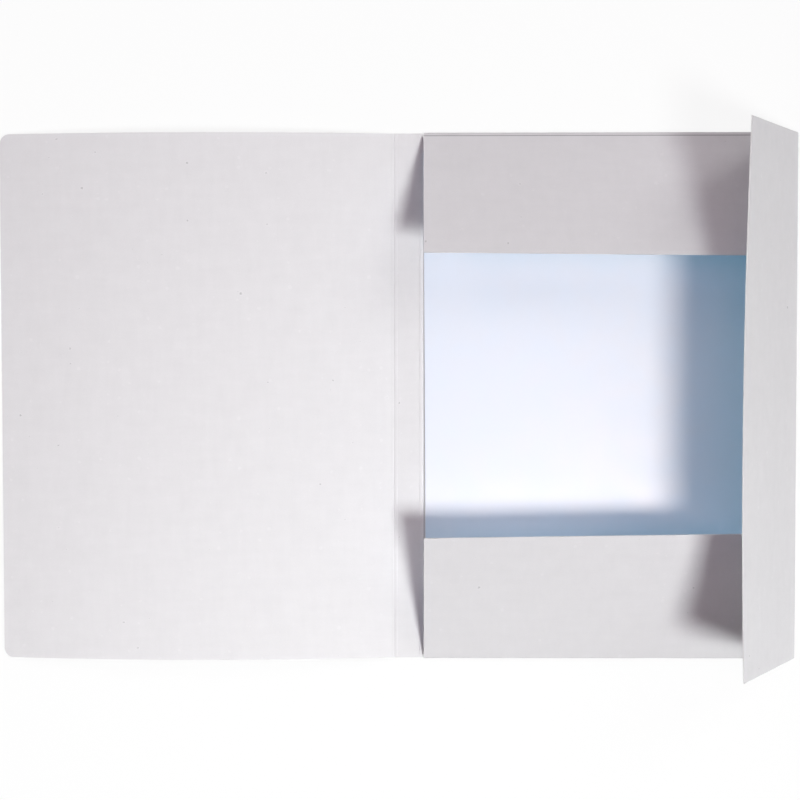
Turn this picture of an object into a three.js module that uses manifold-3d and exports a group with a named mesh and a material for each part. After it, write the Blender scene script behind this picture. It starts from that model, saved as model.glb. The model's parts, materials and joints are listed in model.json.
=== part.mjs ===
// Three flap document folder, laid open on a table with its flaps folded part of the way in.
// Millimetres, +Z up. +X runs from the spine to the side flap, +Y from the tail to the head.
// The origin lies on the table, in the middle of the back between the spine crease and the side fold.
//
// The folder is one die-cut board. Each panel is a node of its own, because each turns about a crease.
// Every panel is drawn in the same local frame: its crease lies on the local Y axis, the board runs
// away from it along +X, its inside face is at z = 0 and its outside face at z = -boardThickness.
// A crease turns about the inside face, where the two inside faces meet.

import * as THREE from 'three';
import { mergeVertices } from 'three/addons/utils/BufferGeometryUtils.js';
import Module from 'manifold-3d';

// The board and its creases
const boardThickness = 0.6;
const creaseGap = 0.3;
const grooveWidth = 0.9;
const grooveDepth = 0.2;
const beadWidth = 2.0;
const beadHeight = 0.12;

// The sheet of paper that the folder is made for, and the room that it has on the back at each side
const sheetWidth = 210;
const sheetHeight = 297;
const sheetThickness = 0.8;
const sheetTurn = 0.3;
const sheetSpineClearance = 1.2;
const sheetSideClearance = 15.8;
const sheetEndClearance = 11.5;

// The back, from the spine crease to the side fold line and from the tail to the head
const backWidth = sheetSpineClearance + sheetWidth + sheetSideClearance;
const folderHeight = sheetHeight + 2 * sheetEndClearance;

// The cover and the spine. The cover is wider than the back, so that it hides the flaps when it is shut.
const coverOverhang = 13;
const coverWidth = backWidth + coverOverhang;
const coverBow = 9;
const coverCornerRadius = 6;
const spineWidth = 17.5;

// The gusset strips between the back and the flaps, and how far they rise at rest
const endGussetWidth = 2.0;
const sideGussetWidth = 2.4;
const gussetRise = 12;

// The head and tail flaps. The skew is what the flap gains in width from its spine end to its other end.
const headFlapWidth = 82.4;
const headFlapSkew = 2.3;
const headFlapAngle = 26;
const tailFlapWidth = 85.1;
const tailFlapSkew = 3.1;
const tailFlapAngle = 24;
const endFlapSpineClearance = 0.5;
const endFlapRootSetback = 12;
const endFlapTipSetback = 36.5;

// The side flap. Its board is springy, so its free edge isn't straight: these say how far it has sprung
// outwards at its head end, in its middle and at its tail end.
const sideFlapWidth = 89;
const sideFlapAngle = 59;
const sideFlapSpringHead = 2.5;
const sideFlapSpringMiddle = -1.3;
const sideFlapSpringTail = -0.2;

// How evenly the spring is spread from the crease to the free edge, and the facets that draw it
const springPower = 1.3;
const springFacetsAcross = 8;
const springFacetsAlong = 24;

// How far a cutting or trimming shape runs past what it cuts
const overrun = 2;

const toRadians = THREE.MathUtils.degToRad;
const wasm = await Module();
wasm.setup();

// Solids for cutting and joining

function toSolid(geometry) {
  const bare = geometry.clone();
  bare.deleteAttribute('normal');
  bare.deleteAttribute('uv');
  const merged = mergeVertices(bare, 1e-5);
  return new wasm.Manifold(new wasm.Mesh({
    numProp: 3,
    vertProperties: new Float32Array(merged.attributes.position.array),
    triVerts: new Uint32Array(merged.index.array),
  }));
}

function toGeometry(solid) {
  const mesh = solid.getMesh();
  const geometry = new THREE.BufferGeometry();
  geometry.setAttribute('position', new THREE.BufferAttribute(new Float32Array(mesh.vertProperties), 3));
  geometry.setIndex(new THREE.BufferAttribute(new Uint32Array(mesh.triVerts), 1));
  const flat = geometry.toNonIndexed();
  flat.computeVertexNormals();
  return flat;
}

// A section drawn in the X-Z plane and swept along Y, as a crease runs
function sweptAlongCrease(section, low, high, curveSegments = 12) {
  const geometry = new THREE.ExtrudeGeometry(section, {
    depth: high - low, bevelEnabled: false, curveSegments,
  });
  geometry.rotateX(Math.PI / 2);
  geometry.translate(0, high, 0);
  return toSolid(geometry);
}

// An outline drawn in the X-Y plane and cut straight through the board, as a die does
function dieCut(outline, low, high) {
  const geometry = new THREE.ExtrudeGeometry(outline, {
    depth: high - low, bevelEnabled: false, curveSegments: 10,
  });
  geometry.translate(0, 0, low);
  return toSolid(geometry);
}

function polygon(points) {
  return new THREE.Shape(points.map(([x, y]) => new THREE.Vector2(x, y)));
}

// The groove that the creasing rule presses into the outside face. It slopes away from the crease at x,
// towards the side that sign gives.
function creaseGroove(x, sign, halfLength) {
  const slope = grooveDepth / grooveWidth;
  const nearX = x - sign * overrun;
  const farX = x + sign * (grooveWidth + overrun);
  const floor = -boardThickness - slope * overrun;
  const crown = -boardThickness + grooveDepth + slope * overrun;
  const points = [[nearX, floor], [farX, floor], [nearX, crown]];
  if (sign < 0) points.reverse();
  return sweptAlongCrease(polygon(points), -halfLength, halfLength);
}

// A flat board between x = 0 and width, swept from low to high, with a groove at each crease it has
function flatBoard(width, low, high, { farCrease = false } = {}) {
  const start = creaseGap / 2;
  const end = farCrease ? width - creaseGap / 2 : width;
  const section = polygon([[start, -boardThickness], [end, -boardThickness], [end, 0], [start, 0]]);
  const reach = Math.max(Math.abs(low), Math.abs(high)) + overrun;
  let solid = sweptAlongCrease(section, low, high);
  solid = solid.subtract(creaseGroove(start, 1, reach));
  if (farCrease) solid = solid.subtract(creaseGroove(end, -1, reach));
  return solid;
}

// The panels

function gussetStrip(width, low, high) {
  return flatBoard(width, low, high, { farCrease: true });
}

// The back has a crease on every side but none at its four corners, so it takes the groove both ways
function backPanel(width, height) {
  const alongY = flatBoard(width, -height / 2, height / 2, { farCrease: true });
  const across = toGeometry(flatBoard(height, -width, 0, { farCrease: true }));
  across.rotateZ(Math.PI / 2);
  across.translate(0, -height / 2, 0);
  return alongY.intersect(toSolid(across));
}

// The spine has a raised bead beside each crease, pressed up from behind by the creasing rule
function spinePanel(width, height) {
  const start = creaseGap / 2;
  const end = width - creaseGap / 2;
  const section = new THREE.Shape();
  section.moveTo(start, -boardThickness);
  section.lineTo(end, -boardThickness);
  section.lineTo(end, 0);
  section.absellipse(end - beadWidth / 2, 0, beadWidth / 2, beadHeight, 0, Math.PI);
  section.lineTo(start + beadWidth, 0);
  section.absellipse(start + beadWidth / 2, 0, beadWidth / 2, beadHeight, 0, Math.PI);
  const reach = height / 2 + overrun;
  return sweptAlongCrease(section, -height / 2, height / 2)
    .subtract(creaseGroove(start, 1, reach))
    .subtract(creaseGroove(end, -1, reach));
}

// The cover bows up in one arc between its crease and its outer edge, and its outer corners are rounded
function coverPanel(width, height) {
  const radius = (width * width / 4 + coverBow * coverBow) / (2 * coverBow);
  const centreZ = coverBow - radius;
  const halfAngle = Math.asin(width / 2 / radius);
  const up = Math.PI / 2;
  const section = new THREE.Shape();
  section.absarc(width / 2, centreZ, radius, up - halfAngle, up + halfAngle, false);
  section.absarc(width / 2, centreZ, radius - boardThickness, up + halfAngle, up - halfAngle, true);
  const bowed = sweptAlongCrease(section, -height / 2 - overrun, height / 2 + overrun, 40);

  const r = coverCornerRadius;
  const outline = new THREE.Shape();
  outline.moveTo(creaseGap / 2, -height / 2);
  outline.lineTo(width - r, -height / 2);
  outline.absarc(width - r, -height / 2 + r, r, -up, 0, false);
  outline.lineTo(width, height / 2 - r);
  outline.absarc(width - r, height / 2 - r, r, 0, up, false);
  outline.lineTo(creaseGap / 2, height / 2);
  return bowed
    .intersect(dieCut(outline, -boardThickness - overrun, coverBow + overrun))
    .subtract(creaseGroove(creaseGap / 2, 1, height / 2 + overrun));
}

// A head or tail flap. sideSign says which way along the crease the side flap lies. The end there is cut
// back on a slant, so that the side flap can fold over it, and the free edge runs a little out of square.
function endFlap(sideSign, width, skew) {
  const spineEnd = -sideSign * (backWidth / 2 - endFlapSpineClearance);
  const rootEnd = sideSign * (backWidth / 2 - endFlapRootSetback);
  const tipEnd = sideSign * (backWidth / 2 - endFlapTipSetback);
  const points = [[-overrun, spineEnd], [width, spineEnd], [width + skew, tipEnd],
    [0, rootEnd], [-overrun, rootEnd]];
  if (sideSign < 0) points.reverse();
  const outline = dieCut(polygon(points), -boardThickness - overrun, overrun);
  const reach = backWidth / 2 + overrun;
  return flatBoard(width + skew + overrun, -reach, reach).intersect(outline);
}

// How far the side flap's free edge has sprung outwards at y: a parabola through the three given values
function springAt(y, halfLength) {
  const t = y / halfLength;
  const bend = (sideFlapSpringHead + sideFlapSpringTail) / 2 - sideFlapSpringMiddle;
  const twist = (sideFlapSpringHead - sideFlapSpringTail) / 2;
  return bend * t * t + twist * t + sideFlapSpringMiddle;
}

// The side flap is a board with the crease's groove, drawn in facets that are then bent outwards
function sideFlap() {
  const halfLength = folderHeight / 2;
  const start = creaseGap / 2;
  const flatStart = start + grooveWidth;
  const stations = Array.from({ length: springFacetsAcross + 1 },
    (_, i) => flatStart + (sideFlapWidth - flatStart) * i / springFacetsAcross);
  const section = polygon([
    [start, 0],
    [start, -boardThickness + grooveDepth],
    ...stations.map((x) => [x, -boardThickness]),
    ...stations.toReversed().map((x) => [x, 0]),
  ]);
  const geometry = new THREE.ExtrudeGeometry(section, {
    depth: 2 * halfLength, bevelEnabled: false, steps: springFacetsAlong,
  });
  geometry.rotateX(Math.PI / 2);
  geometry.translate(0, halfLength, 0);
  const place = geometry.attributes.position;
  for (let i = 0; i < place.count; i += 1) {
    const share = Math.max(place.getX(i), 0) / sideFlapWidth;
    place.setZ(i, place.getZ(i) - springAt(place.getY(i), halfLength) * share ** springPower);
  }
  return toSolid(geometry);
}

function looseSheet() {
  const outline = polygon([[0, -sheetHeight / 2], [sheetWidth, -sheetHeight / 2],
    [sheetWidth, sheetHeight / 2], [0, sheetHeight / 2]]);
  return dieCut(outline, 0, sheetThickness);
}

// Materials

function boardMaterial(colour) {
  return new THREE.MeshStandardMaterial({ color: colour, roughness: 0.85, metalness: 0 });
}

function node(name, solid, material) {
  const mesh = new THREE.Mesh(toGeometry(solid), material);
  mesh.name = name;
  return mesh;
}

const greyBoard = 0xe6e4e7;
const palePaper = 0xeef0fc;

// Assembly

const folder = new THREE.Group();

// Where the flaps' gussets leave the back: the fold line is what the sizes above are taken to
const rise = toRadians(gussetRise);
const sideScoreX = backWidth / 2 - sideGussetWidth * Math.cos(rise);
const endScoreY = folderHeight / 2 - endGussetWidth * Math.cos(rise);
const spineCreaseX = -backWidth / 2;

const back = node('back_panel', backPanel(sideScoreX - spineCreaseX, 2 * endScoreY), boardMaterial(greyBoard));
back.position.set(spineCreaseX, 0, boardThickness);
folder.add(back);

const sheet = node('inner_sheet', looseSheet(), boardMaterial(palePaper));
sheet.position.set(spineCreaseX + sheetSpineClearance, 0, boardThickness);
sheet.rotation.z = toRadians(sheetTurn);
folder.add(sheet);

// The spine and the cover lie flat on the table, one beyond the other
const spineHinge = new THREE.Group();
spineHinge.position.set(spineCreaseX, 0, boardThickness);
spineHinge.rotation.z = Math.PI;
spineHinge.add(node('spine', spinePanel(spineWidth, folderHeight), boardMaterial(greyBoard)));
folder.add(spineHinge);

const coverHinge = new THREE.Group();
coverHinge.position.x = spineWidth;
coverHinge.add(node('front_cover', coverPanel(coverWidth, folderHeight), boardMaterial(greyBoard)));
spineHinge.add(coverHinge);

// A flap hangs on two creases in a row: the back carries its gusset strip, and the strip carries the flap
function addFlap({ name, x, y, heading, gussetWidth, low, high, flap, flapAngle }) {
  const gussetHinge = new THREE.Group();
  gussetHinge.position.set(x, y, boardThickness);
  gussetHinge.rotation.order = 'ZYX';
  gussetHinge.rotation.z = heading;
  gussetHinge.rotation.y = -rise;
  gussetHinge.add(node(`${name}_fold`, gussetStrip(gussetWidth, low, high), boardMaterial(greyBoard)));

  const flapHinge = new THREE.Group();
  flapHinge.position.x = gussetWidth;
  flapHinge.rotation.y = -(Math.PI - toRadians(flapAngle) - rise);
  flapHinge.add(node(`${name}_flap`, flap, boardMaterial(greyBoard)));

  gussetHinge.add(flapHinge);
  folder.add(gussetHinge);
}

const endStripNear = backWidth / 2 - endFlapSpineClearance;
const endStripFar = backWidth / 2 - endFlapRootSetback;

addFlap({
  name: 'head', x: 0, y: endScoreY, heading: Math.PI / 2, gussetWidth: endGussetWidth,
  low: -endStripFar, high: endStripNear,
  flap: endFlap(-1, headFlapWidth, headFlapSkew), flapAngle: headFlapAngle,
});

addFlap({
  name: 'tail', x: 0, y: -endScoreY, heading: -Math.PI / 2, gussetWidth: endGussetWidth,
  low: -endStripNear, high: endStripFar,
  flap: endFlap(1, tailFlapWidth, tailFlapSkew), flapAngle: tailFlapAngle,
});

addFlap({
  name: 'side', x: sideScoreX, y: 0, heading: 0, gussetWidth: sideGussetWidth,
  low: -folderHeight / 2, high: folderHeight / 2, flap: sideFlap(), flapAngle: sideFlapAngle,
});

export default folder;
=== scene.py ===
import json
import math

import bpy
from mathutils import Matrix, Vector

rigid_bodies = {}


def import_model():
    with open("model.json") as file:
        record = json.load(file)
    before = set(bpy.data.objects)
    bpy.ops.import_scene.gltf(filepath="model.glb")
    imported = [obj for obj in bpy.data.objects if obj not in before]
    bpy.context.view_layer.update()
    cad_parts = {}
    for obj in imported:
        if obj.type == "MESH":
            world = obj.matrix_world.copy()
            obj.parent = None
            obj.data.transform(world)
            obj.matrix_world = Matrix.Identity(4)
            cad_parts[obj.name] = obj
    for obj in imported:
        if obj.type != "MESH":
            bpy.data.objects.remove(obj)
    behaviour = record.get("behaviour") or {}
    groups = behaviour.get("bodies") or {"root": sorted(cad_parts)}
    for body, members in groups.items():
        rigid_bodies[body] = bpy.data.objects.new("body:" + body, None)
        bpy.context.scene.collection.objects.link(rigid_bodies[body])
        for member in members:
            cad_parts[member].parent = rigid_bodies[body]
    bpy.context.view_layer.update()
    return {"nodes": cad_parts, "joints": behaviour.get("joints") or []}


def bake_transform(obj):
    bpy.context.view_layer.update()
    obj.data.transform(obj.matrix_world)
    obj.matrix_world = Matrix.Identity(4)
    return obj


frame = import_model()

# %% [markdown]
# The folder is one die-cut board, laid open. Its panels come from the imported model, each with its own
# place and its own body, and they stay as they are. What a model of flat panels can't show is the board
# between them, where it bends. So this script makes the board of each crease, a finish for every face,
# and the light and the camera of the photograph.
#
# The folder's own sizes are written in millimetres and turned into metres by one number. The studio
# around it, which is its lamps, its floor and its wall, is in metres. All angles are in degrees.

# %% Units and the values of the board
MM = 0.001
nodes = frame["nodes"]
hinges = {joint["name"]: joint for joint in frame["joints"]}

board_thickness = 0.6
crease_half_gap = 0.15
groove_depth = 0.2
gusset_rise = 12
flap_angle = {"head": 26, "tail": 24, "side": 59}
cover_start_angle = 8.58
print("panels:", sorted(nodes))

# %% [markdown]
# The camera comes first. The photograph looks straight down on
# the folder from a metre up, close to the line where the spine meets the back and a little towards the
# head. A lens of 74 mm on a 36 mm sensor gives the same small spread of the panels towards the edge of
# the picture, without any shift.

# %% Camera
camera_place = (-117.0 * MM, 34.6 * MM, 1000 * MM)
camera_turn = (-2.091, 0.595, -0.052)
lens_length, sensor_width = 73.69, 36
nearest_seen = 10 * MM

bpy.ops.object.select_all(action="DESELECT")
bpy.ops.object.camera_add(location=camera_place, rotation=[math.radians(turn) for turn in camera_turn])
camera = bpy.context.object
camera.name = "camera"
camera.data.sensor_width = sensor_width
camera.data.lens = lens_length
camera.data.clip_start = nearest_seen
bpy.context.scene.camera = camera
print("camera", tuple(camera.location), "lens", camera.data.lens)

# %% [markdown]
# The light is one soft key lamp high up beyond the tail and the side flap, which draws the shadows
# towards the head and the spine, and five wide lamps that fill them. Where the fills stand decides how
# dark each shadow is: three of them stand beyond the head, because the tail flap's shadow is the darkest
# of all. The other two hang higher and are a little pink, as the shadows are.

# %% Colours and sizes of the lamps
white = (1, 1, 1)
key_white = (0.95, 1, 0.975)
cover_pink = (1, 0.76, 0.88)
overhead_pink = (1, 0.78, 0.9)
key_size, fill_size, overhead_size = 0.76, 1.0, 1.2
key_target = (-0.3, -0.3, 0)
key_spread, open_spread = 60, 180
print("the key lamp is", key_size, "m wide, the fills", fill_size, "to", overhead_size)


# %% Lamps
def aimed(place, target):
    """The turn of a lamp that stands at a place and shines at a target."""
    direction = Vector(target) - Vector(place)
    return direction.to_track_quat("-Z", "Y").to_euler()


def add_lamp(name, place, size, power, colour, target=(0, 0, 0), spread=open_spread):
    bpy.ops.object.light_add(type="AREA", location=place, rotation=aimed(place, target))
    lamp = bpy.context.object
    lamp.name = name
    lamp.data.shape = "DISK"
    lamp.data.size = size
    lamp.data.energy = power
    lamp.data.color = colour
    lamp.data.spread = math.radians(spread)
    print(name, "at", [round(v, 2) for v in place], "power", power)


add_lamp("key_lamp", (0.8, -0.857, 2.052), key_size, 6.3, key_white, key_target, key_spread)
add_lamp("head_fill", (0, 1.7, 1.2), fill_size, 1.6, white)
add_lamp("head_side_fill", (1.2, 1.2, 1.2), fill_size, 9.7, white)
add_lamp("head_cover_fill", (-1.2, 1.2, 1), fill_size, 4.9, white)
add_lamp("cover_fill", (-1, 0.3, 1.8), fill_size, 3.4, cover_pink)
add_lamp("overhead_fill", (0.15, -0.03, 1.8), overhead_size, 3.8, overhead_pink)

# %% World
world_glow = 0.004

world = bpy.data.worlds.new("studio")
world.use_nodes = True
background = world.node_tree.nodes["Background"]
background.inputs["Color"].default_value = (*white, 1)
background.inputs["Strength"].default_value = world_glow
bpy.context.scene.world = world
bpy.context.scene.view_settings.view_transform = "Standard"
print("world", world.name, "glows at", world_glow)

# %% [markdown]
# The floor is a pale matt sheet, and a round wall stands far behind it, so that no view from the side
# looks past its end. Where they are seen, straight or in a gloss, both also glow at a strength of 1, so
# that they come out white without any more light on the folder. The part of the floor that doesn't glow
# still takes the folder's shadow. What is seen is worked out with sums of nodes, so the helper that adds
# such a sum to a material comes first.


# %% A helper for sums in materials
def add_math(tree, operation, a, b=None):
    """A sum of one or two values. Each is a plain number or what another node puts out."""
    node = tree.nodes.new("ShaderNodeMath")
    node.operation = operation
    for socket, value in zip(node.inputs, (a, b)):
        if value is None:
            continue
        if isinstance(value, (int, float)):
            socket.default_value = value
        else:
            tree.links.new(value, socket)
    return node.outputs[0]


# %% The paint of the floor and the wall
floor_glow = 0.88
floor_tone = (0.9, 0.9, 0.9)

paint = bpy.data.materials.new("floor_paint")
paint.use_nodes = True
tree = paint.node_tree
tree.nodes.clear()
light_path = tree.nodes.new("ShaderNodeLightPath")
straight, glossy = light_path.outputs["Is Camera Ray"], light_path.outputs["Is Glossy Ray"]
through = light_path.outputs["Is Transmission Ray"]
seen = add_math(tree, "MAXIMUM", add_math(tree, "MAXIMUM", straight, glossy), through)
matt = tree.nodes.new("ShaderNodeBsdfDiffuse")
matt.inputs["Color"].default_value = (*floor_tone, 1)
glow = tree.nodes.new("ShaderNodeEmission")
glow.inputs["Color"].default_value = (*white, 1)
mix = tree.nodes.new("ShaderNodeMixShader")
out = tree.nodes.new("ShaderNodeOutputMaterial")
tree.links.new(add_math(tree, "MULTIPLY", seen, floor_glow), mix.inputs["Fac"])
tree.links.new(matt.outputs[0], mix.inputs[1])
tree.links.new(glow.outputs[0], mix.inputs[2])
tree.links.new(mix.outputs[0], out.inputs["Surface"])
print(paint.name, "has", len(tree.nodes), "nodes")

# %% Floor and backdrop
floor_level = -0.0001
backdrop_radius, backdrop_height, backdrop_sides = 19, 12, 96

bpy.ops.mesh.primitive_plane_add(size=2 * backdrop_radius, location=(0, 0, floor_level))
floor = bpy.context.object
floor.name = "floor"
bpy.ops.mesh.primitive_cylinder_add(vertices=backdrop_sides, radius=backdrop_radius, depth=backdrop_height,
                                    end_fill_type="NOTHING",
                                    location=(0, 0, floor_level + backdrop_height / 2))
backdrop = bpy.context.object
backdrop.name = "backdrop"
for part in (floor, backdrop):
    part.data.materials.append(paint)
print("floor and backdrop reach", backdrop_radius, "m")

# %% [markdown]
# A crease is a line where a steel rule has pressed the board thin, so that it bends there and nowhere
# else. Inside the fold the two faces meet in a small valley, and outside it the board runs round in a
# tight bend. It could be one bent sheet laid over all the panels, but then every panel would be there
# twice. So each crease gets its own narrow board: one vertex is drawn round its section, the ring is
# filled, and the face is pushed along the crease. Its two sides reach a little way into the panels, as
# a tongue on either side.


# %% Walking round a section
def start_section(name, place):
    """A new piece that is one vertex at a place."""
    bpy.ops.object.select_all(action="DESELECT")
    bpy.ops.mesh.primitive_plane_add(size=MM, location=place)
    piece = bpy.context.object
    piece.name = name
    piece.data.name = name
    bpy.ops.object.transform_apply(location=True, rotation=True, scale=True)
    bpy.ops.object.mode_set(mode="EDIT")
    bpy.ops.mesh.select_all(action="SELECT")
    bpy.ops.mesh.merge(type="CENTER")
    return piece


def step_to(here, there):
    """Draws an edge from the selected vertex to the next place."""
    bpy.ops.mesh.extrude_region_move(TRANSFORM_OT_translate={"value": there - here})
    return there


# %% Measures of a crease's section
edge_overlap = 0.01
skin = 0.006
edge = crease_half_gap + edge_overlap
thin = board_thickness - groove_depth - skin
valley_depth = 0.12
tongue_reach, tongue_top, tongue_bottom = 0.6, 0.15, 0.3
bend_steps = 10
print("a crease is", 2 * edge, "mm wide and", round(thin, 3), "mm thick at its edges")


# %% The section of a crease
def crease_points(hinge, outward, angle_a, angle_b, lip):
    """The corners of a crease's section, in order, from panel a over the inside to panel b and back."""
    up = Vector((0, 0, 1))

    def towards(angle):
        return outward * math.cos(math.radians(angle)) + up * math.sin(math.radians(angle))

    def on_board(angle, side, along, depth):
        return hinge + (towards(angle) * along + towards(angle + side * 90) * depth) * MM

    bend_a, bend_b = angle_a + 90, angle_b - 90
    sweep = (bend_b - bend_a) % 360
    flatness = 1 - min(sweep, 90) / 90
    points = [on_board(angle_a, 1, tongue_reach, tongue_top), on_board(angle_a, 1, edge, skin)]
    points.append(hinge + towards(bend_a + sweep / 2) * valley_depth * MM)
    points.append(on_board(angle_b, -1, edge, skin))
    for along, height in lip:
        points.append(on_board(angle_b, -1, along, -height))
    points.append(on_board(angle_b, -1, tongue_reach, tongue_top))
    points.append(on_board(angle_b, -1, tongue_reach, tongue_bottom))
    points.append(on_board(angle_b, -1, edge, thin))
    for i in range(bend_steps + 1):
        angle = bend_a + sweep * (1 - i / bend_steps)
        slide = edge * (1 - 2 * (i + 1) / (bend_steps + 2)) * flatness
        points.append(hinge + (towards(angle) * thin + towards(angle_b) * slide) * MM)
    points.append(on_board(angle_a, 1, edge, thin))
    points.append(on_board(angle_a, 1, tongue_reach, tongue_bottom))
    return points, towards(bend_a), towards(bend_b), towards(angle_a), towards(angle_b)


# %% One crease
# A crease that is bent at rest runs round from outer face to outer face, and a nearly flat one runs
# along the board, over a short span on either side of its hinge.
weld_distance = 0.0005
smooth_below = 35


def make_crease(name, joint_name, outward, angle_a, angle_b, low, high, lip=()):
    """The board of one crease, along the hinge of its joint."""
    joint = hinges[joint_name]
    outward = Vector(outward)
    hinge = Vector(joint["pos_m"])
    along = Vector((0, 1, 0)) if outward.x else Vector((1, 0, 0))
    hinge = hinge - along * hinge.dot(along) + along * low * MM
    points, normal_a, normal_b, board_a, board_b = crease_points(hinge, outward, angle_a, angle_b, lip)
    piece = start_section(name, points[0])
    here = points[0]
    for there in points[1:] + points[:1]:
        here = step_to(here, there)
    bpy.ops.mesh.select_all(action="SELECT")
    bpy.ops.mesh.remove_doubles(threshold=weld_distance * MM)
    bpy.ops.mesh.edge_face_add()
    bpy.ops.mesh.extrude_region_move(TRANSFORM_OT_translate={"value": along * (high - low) * MM})
    bpy.ops.mesh.select_all(action="SELECT")
    bpy.ops.mesh.normals_make_consistent(inside=False)
    bpy.ops.object.mode_set(mode="OBJECT")
    bpy.ops.object.shade_smooth_by_angle(angle=math.radians(smooth_below))
    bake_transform(piece)
    print(name, "faces", len(piece.data.polygons), "joins", joint["parent"], "and", joint["child"])
    return piece


# %% The creases of the spine
back_end = 157.85
half_height = 160
cover_lip = [(0.35, 0.03), (0.7, 0.05), (1.1, 0.05), (1.5, 0.02), (1.8, -0.05), (1.6, -0.15)]
creases = [
    make_crease("spine_crease_board", "spine_crease", (-1, 0, 0), 180, 0, -back_end, back_end),
    make_crease("cover_crease_board", "cover_crease", (-1, 0, 0), 180, cover_start_angle,
                -half_height, half_height, cover_lip),
]

# %% The creases of the flaps
strip_low, strip_high = -113, 101.5
flap_lines = {
    "head": ((0, 1, 0), strip_low, strip_high),
    "tail": ((0, -1, 0), strip_low, strip_high),
    "side": ((1, 0, 0), -half_height, half_height),
}
for flap, (outward, low, high) in flap_lines.items():
    inner_low, inner_high = (-back_end, back_end) if flap == "side" else (low, high)
    creases.append(make_crease(f"{flap}_inner_crease", f"{flap}_inner_score", outward, 180, gusset_rise,
                               inner_low, inner_high))
    creases.append(make_crease(f"{flap}_outer_crease", f"{flap}_outer_score", outward, 180 + gusset_rise,
                               180 - flap_angle[flap], low, high))

# %% [markdown]
# The board is grey pulp board: matt, very even, with a faint cloudiness, fine fibres, faint streaks and a
# few crooked specks, dark ones with a pale rim and some that are only pale. Its outside is a little
# darker than its inside, and where it is cut the paler core shows. An image could hold this, but a
# pattern of nodes has no seams and the same grain on every panel. Three node groups are shared: one
# makes the grain, one draws a narrow straight line that paints shade or a highlight into a panel, and
# one tells the inside, the outside and the cut edge of a panel apart by the way that they face.

# %% Helpers for node trees
FLOAT, COLOUR, VECTOR = "NodeSocketFloat", "NodeSocketColor", "NodeSocketVector"


def new_group(name, inputs, outputs):
    """An empty node group, with its input and output nodes."""
    group = bpy.data.node_groups.new(name, "ShaderNodeTree")
    for label, kind in inputs:
        group.interface.new_socket(label, in_out="INPUT", socket_type=kind)
    for label, kind in outputs:
        group.interface.new_socket(label, in_out="OUTPUT", socket_type=kind)
    return group, group.nodes.new("NodeGroupInput"), group.nodes.new("NodeGroupOutput")


def add_ramp(tree, value, low, high, low_out=0.0, high_out=1.0):
    """A soft step of a value, from one level to another."""
    node = tree.nodes.new("ShaderNodeMapRange")
    node.interpolation_type = "SMOOTHSTEP"
    node.inputs["From Min"].default_value = low
    node.inputs["From Max"].default_value = high
    node.inputs["To Min"].default_value = low_out
    node.inputs["To Max"].default_value = high_out
    tree.links.new(value, node.inputs["Value"])
    return node.outputs["Result"]


def add_noise(tree, place, scale, detail, output="Fac"):
    """Soft random tones, or random colours where the output is Color."""
    node = tree.nodes.new("ShaderNodeTexNoise")
    node.inputs["Scale"].default_value = scale
    node.inputs["Detail"].default_value = detail
    tree.links.new(place, node.inputs["Vector"])
    return node.outputs[output]


# %% Helpers for vectors and colours
def add_vector(tree, operation, first, second):
    """A sum of two vectors. Each is three plain numbers or what another node puts out."""
    node = tree.nodes.new("ShaderNodeVectorMath")
    node.operation = operation
    for socket, value in zip(node.inputs, (first, second)):
        if isinstance(value, tuple):
            socket.default_value = value
        else:
            tree.links.new(value, socket)
    return node.outputs["Value"] if operation == "DOT_PRODUCT" else node.outputs["Vector"]


def add_mix(tree, share, first, second):
    """A colour between two colours."""
    node = tree.nodes.new("ShaderNodeMix")
    node.data_type = "RGBA"
    tree.links.new(share, node.inputs[0])
    for socket, value in ((node.inputs[6], first), (node.inputs[7], second)):
        if isinstance(value, tuple):
            socket.default_value = (*value, 1)
        else:
            tree.links.new(value, socket)
    return node.outputs[2]


# %% One field of specks
smallest_speck = 0.5
core_softness = 0.5
rim_reach = 1.7


def speck_field(tree, place, cell, radius, share):
    """Specks and their pale rims. A share of the cells holds one, and each has a size of its own."""
    cells = tree.nodes.new("ShaderNodeTexVoronoi")
    cells.inputs["Scale"].default_value = 1 / (cell * MM)
    tree.links.new(place, cells.inputs["Vector"])
    dice = tree.nodes.new("ShaderNodeSeparateColor")
    tree.links.new(cells.outputs["Color"], dice.inputs[0])
    holds = add_math(tree, "LESS_THAN", dice.outputs[0], share)
    size = add_math(tree, "ADD", dice.outputs[1], smallest_speck)
    reach = add_math(tree, "DIVIDE", cells.outputs["Distance"], size)
    full = radius / cell
    core = add_ramp(tree, reach, full * core_softness, full, 1, 0)
    rim = add_ramp(tree, reach, full, full * rim_reach, 1, 0)
    return add_math(tree, "MULTIPLY", core, holds), add_math(tree, "MULTIPLY", rim, holds)


# %% Measures of the grain
# A scale says how many waves of a noise fit into a metre. A streak has few of them one way and many
# across. A crook says how far at most a speck's outline is pushed aside, each way.
cloud_scale, fibre_scale, crook_scale = 90, 1400, 1200
cloud_detail, fibre_detail, crook_detail, streak_detail = 3, 3, 2, 1
streaks_along_x, streaks_along_y = (50.0, 240.0, 200.0), (240.0, 50.0, 200.0)
crook = (2.2 * MM, 1.2 * MM, 1.2 * MM)
cloud_share, fibre_share, streak_share = 0.05, 0.05, 0.03
small_speck_share, rim_share = 0.6, 0.11
cloud_height = 0.4
print("clouds change the tone by", cloud_share / 2, "either way, streaks by", streak_share)

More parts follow.
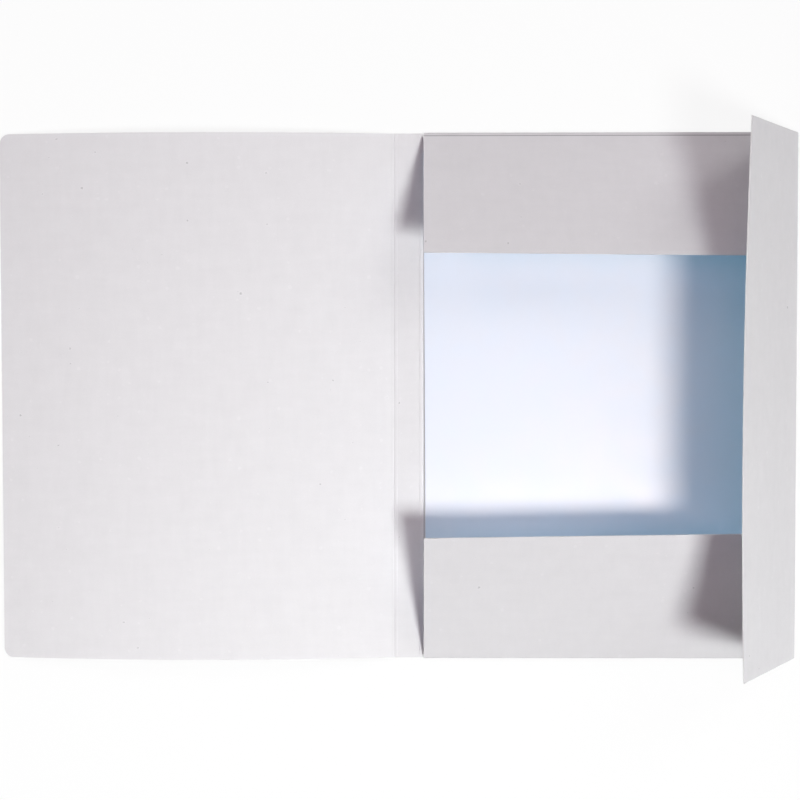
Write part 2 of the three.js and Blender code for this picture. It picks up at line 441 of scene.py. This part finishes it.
# %% Node group: clouds, fibres, streaks and specks of the pulp
pulp, pulp_in, pulp_out = new_group(
    "pulp_grain",
    [("Vector", VECTOR), ("Specks", FLOAT)],
    [("Tone", FLOAT), ("Height", FLOAT)],
)
place = pulp_in.outputs["Vector"]
clouds = add_math(pulp, "SUBTRACT", add_noise(pulp, place, cloud_scale, cloud_detail), 0.5)
fibres = add_math(pulp, "SUBTRACT", add_noise(pulp, place, fibre_scale, fibre_detail), 0.5)
along_x = add_noise(pulp, add_vector(pulp, "MULTIPLY", place, streaks_along_x), 1, streak_detail)
along_y = add_noise(pulp, add_vector(pulp, "MULTIPLY", place, streaks_along_y), 1, streak_detail)
streaks = add_math(pulp, "SUBTRACT", add_math(pulp, "ADD", along_x, along_y), 1)
shove = add_noise(pulp, place, crook_scale, crook_detail, output="Color")
shove = add_vector(pulp, "SUBTRACT", shove, (0.5, 0.5, 0.5))
shoved = add_vector(pulp, "ADD", place, add_vector(pulp, "MULTIPLY", shove, crook))
big_core, big_rim = speck_field(pulp, shoved, cell=8, radius=0.8, share=0.08)
small_core, small_rim = speck_field(pulp, shoved, cell=4.6, radius=0.38, share=0.12)
pale_core, pale_rim = speck_field(pulp, shoved, cell=6.1, radius=0.6, share=0.3)
specks = add_math(pulp, "MAXIMUM", big_core, add_math(pulp, "MULTIPLY", small_core, small_speck_share))
rims = add_math(pulp, "MAXIMUM", add_math(pulp, "MAXIMUM", big_rim, small_rim), pale_rim)
specks = add_math(pulp, "SUBTRACT", specks, add_math(pulp, "MULTIPLY", rims, rim_share))
specks = add_math(pulp, "MULTIPLY", specks, pulp_in.outputs["Specks"])
tone = add_math(pulp, "ADD", add_math(pulp, "MULTIPLY", clouds, cloud_share), 1)
tone = add_math(pulp, "ADD", tone, add_math(pulp, "MULTIPLY", fibres, fibre_share))
tone = add_math(pulp, "ADD", tone, add_math(pulp, "MULTIPLY", streaks, streak_share))
tone = add_math(pulp, "SUBTRACT", tone, specks)
height = add_math(pulp, "ADD", fibres, add_math(pulp, "MULTIPLY", clouds, cloud_height))
pulp.links.new(tone, pulp_out.inputs["Tone"])
pulp.links.new(height, pulp_out.inputs["Height"])
print(pulp.name, "has", len(pulp.nodes), "nodes")

# %% Node group: a narrow straight line across a panel
line_full_share = 0.3

line, line_in, line_out = new_group(
    "painted_light_line",
    [("Vector", VECTOR), ("Direction", VECTOR), ("Offset", FLOAT), ("Half Width", FLOAT)],
    [("Mask", FLOAT)],
)
distance = add_vector(line, "DOT_PRODUCT", line_in.outputs["Vector"], line_in.outputs["Direction"])
distance = add_math(line, "ABSOLUTE", add_math(line, "SUBTRACT", distance, line_in.outputs["Offset"]))
share = add_math(line, "DIVIDE", distance, line_in.outputs["Half Width"])
line.links.new(add_ramp(line, share, line_full_share, 1, 1, 0), line_out.inputs["Mask"])
print(line.name, "has", len(line.nodes), "nodes")

# %% Node group: inside, outside and cut edge of a panel
half_facing, full_facing = 0.45, 0.6

faces, faces_in, faces_out = new_group(
    "board_faces",
    [("Normal", VECTOR), ("Outside Direction", VECTOR), ("Inside", COLOUR), ("Outside", COLOUR),
     ("Core", COLOUR)],
    [("Colour", COLOUR)],
)
facing = add_vector(faces, "DOT_PRODUCT", faces_in.outputs["Normal"], faces_in.outputs["Outside Direction"])
outside_share = add_ramp(faces, facing, half_facing, full_facing)
inside_share = add_ramp(faces, facing, -full_facing, -half_facing, 1, 0)
colour = add_mix(faces, outside_share, faces_in.outputs["Core"], faces_in.outputs["Outside"])
colour = add_mix(faces, inside_share, colour, faces_in.outputs["Inside"])
faces.links.new(colour, faces_out.inputs["Colour"])
print(faces.name, "has", len(faces.nodes), "nodes")

# %% Colours and feel of the board
inside_colour = (0.782, 0.765, 0.785)
outside_colour = (0.703, 0.683, 0.705)
core_colour = (0.84, 0.82, 0.83)
speck_darkness = 0.3
height_range = 0.5
least_rough, most_rough = 0.8, 0.95
board_specular = 0.25
bump_strength, bump_height = 0.25, 0.03
print("inside", inside_colour, "outside", outside_colour, "core", core_colour)


# %% The board's material
def board_finish(name, outside_direction, inside=inside_colour, core=core_colour, painted_lines=()):
    """The finish of one panel. Its outside direction says which of its faces is the darker one.

    Each line paints shade or a highlight into the panel. It has a direction, a place along it and a half
    width in millimetres, and how dark it is."""
    material = bpy.data.materials.new(name)
    material.use_nodes = True
    tree = material.node_tree
    shader = tree.nodes["Principled BSDF"]
    coordinates = tree.nodes.new("ShaderNodeTexCoord")
    grain = tree.nodes.new("ShaderNodeGroup")
    grain.node_tree = pulp
    grain.inputs["Specks"].default_value = speck_darkness
    tree.links.new(coordinates.outputs["Object"], grain.inputs["Vector"])
    sides = tree.nodes.new("ShaderNodeGroup")
    sides.node_tree = faces
    sides.inputs["Outside Direction"].default_value = outside_direction
    sides.inputs["Inside"].default_value = (*inside, 1)
    sides.inputs["Outside"].default_value = (*outside_colour, 1)
    sides.inputs["Core"].default_value = (*core, 1)
    tree.links.new(coordinates.outputs["Normal"], sides.inputs["Normal"])
    tone = grain.outputs["Tone"]
    # Each line paints shade into the panel, or a highlight where its darkness is below 0.
    for direction, offset, half_width, darkness in painted_lines:
        mark = tree.nodes.new("ShaderNodeGroup")
        mark.node_tree = line
        tree.links.new(coordinates.outputs["Object"], mark.inputs["Vector"])
        mark.inputs["Direction"].default_value = direction
        mark.inputs["Offset"].default_value = offset * MM
        mark.inputs["Half Width"].default_value = half_width * MM
        tone = add_math(tree, "SUBTRACT", tone, add_math(tree, "MULTIPLY", mark.outputs["Mask"], darkness))
    tinted = tree.nodes.new("ShaderNodeMix")
    tinted.data_type = "RGBA"
    tinted.blend_type = "MULTIPLY"
    tinted.inputs[0].default_value = 1
    tree.links.new(sides.outputs["Colour"], tinted.inputs[6])
    tree.links.new(tone, tinted.inputs[7])
    tree.links.new(tinted.outputs[2], shader.inputs["Base Color"])
    rough = add_ramp(tree, grain.outputs["Height"], -height_range, height_range, least_rough, most_rough)
    tree.links.new(rough, shader.inputs["Roughness"])
    shader.inputs["Specular IOR Level"].default_value = board_specular
    bump = tree.nodes.new("ShaderNodeBump")
    bump.inputs["Strength"].default_value = bump_strength
    bump.inputs["Distance"].default_value = bump_height * MM
    tree.links.new(grain.outputs["Height"], bump.inputs["Height"])
    tree.links.new(bump.outputs["Normal"], shader.inputs["Normal"])
    return material


def dress(piece, material):
    """Puts one material in every slot of a piece."""
    if not piece.material_slots:
        piece.data.materials.append(material)
    for slot in piece.material_slots:
        slot.material = material


# %% Every panel's finish
def leaning(outward, angle):
    """The outside direction of a flap that has folded in by this angle from lying flat over the back."""
    lean = math.radians(angle)
    return tuple(Vector(outward) * math.sin(lean) + Vector((0, 0, 1)) * math.cos(lean))


down = (0, 0, -1)
outside_of = {
    "back_panel": down, "spine": down, "front_cover": down,
    "head_fold": down, "tail_fold": down, "side_fold": down,
    "head_flap": leaning((0, 1, 0), flap_angle["head"]),
    "tail_flap": leaning((0, -1, 0), flap_angle["tail"]),
    "side_flap": leaning((1, 0, 0), flap_angle["side"]),
}
painted_lines_of = {
    # Painted shade: a dark line where the head fold's crease falls into shade. Painted highlight: a pale
    # line along the flap's left edge.
    "head_flap": [((0, 1, 0), 158.4, 0.38, 0.5), ((1, 0, 0), -112.8, 0.45, -0.08)],
    # Painted shadow: a dark line along the loose sheet's left edge, where it and the back's crease cast
    # shade.
    "back_panel": [((1, 0, 0), -112.7, 0.45, 0.35)],
}
for name, direction in outside_of.items():
    dress(nodes[name], board_finish(f"{name}_board", direction, painted_lines=painted_lines_of.get(name, ())))
crease_finish = board_finish("inner_crease_board", down)
fold_finish = board_finish("outer_fold_board", down, inside=outside_colour, core=outside_colour)
for piece in creases:
    dress(piece, fold_finish if piece.name.endswith("outer_crease") else crease_finish)
print("dressed", len(outside_of), "panels and", len(creases), "creases")

# %% [markdown]
# The loose sheet that lies on the back is smooth and pale blue. In the key lamp it is nearly white and in
# the shadow clearly blue, which one matt colour can't do. A satin gloss with a warm tint gives the first:
# it adds the most where the lamp shines. The blue of the shadow is painted light: the sheet glows a weak
# blue of its own, though it is no lamp, and that glow shows most in the shadow.

# %% Colours and feel of the sheet
sheet_low_colour, sheet_high_colour = (0.63, 0.75, 0.95), (0.65, 0.77, 0.97)
sheet_cloud_scale, sheet_cloud_detail = 60, 2
sheet_cloud_low, sheet_cloud_high = 0.3, 0.7
sheet_least_rough, sheet_most_rough = 0.57, 0.63
sheet_ior, sheet_specular = 2.4, 1.0
gloss_tint = (1.0, 0.65, 0.42)
# Painted light: a weak blue glow of the sheet's own, though it is no lamp, that tints its shadow blue.
painted_glow_colour, painted_glow_strength = (0, 0.66, 1), 0.13
print("sheet colour", sheet_low_colour, "to", sheet_high_colour)

# %% The sheet's material
sheet_finish = bpy.data.materials.new("satin_paper")
sheet_finish.use_nodes = True
tree = sheet_finish.node_tree
shader = tree.nodes["Principled BSDF"]
coordinates = tree.nodes.new("ShaderNodeTexCoord")
unevenness = add_noise(tree, coordinates.outputs["Object"], sheet_cloud_scale, sheet_cloud_detail)
pale = add_mix(tree, unevenness, sheet_low_colour, sheet_high_colour)
rough = add_ramp(tree, unevenness, sheet_cloud_low, sheet_cloud_high, sheet_least_rough, sheet_most_rough)
tree.links.new(pale, shader.inputs["Base Color"])
tree.links.new(rough, shader.inputs["Roughness"])
shader.inputs["IOR"].default_value = sheet_ior
shader.inputs["Specular IOR Level"].default_value = sheet_specular
shader.inputs["Specular Tint"].default_value = (*gloss_tint, 1)
# Painted light: a weak blue glow that shows most in the sheet's shadow.
shader.inputs["Emission Color"].default_value = (*painted_glow_colour, 1)
shader.inputs["Emission Strength"].default_value = painted_glow_strength
dress(nodes["inner_sheet"], sheet_finish)
print("dressed the inner sheet in", sheet_finish.name)
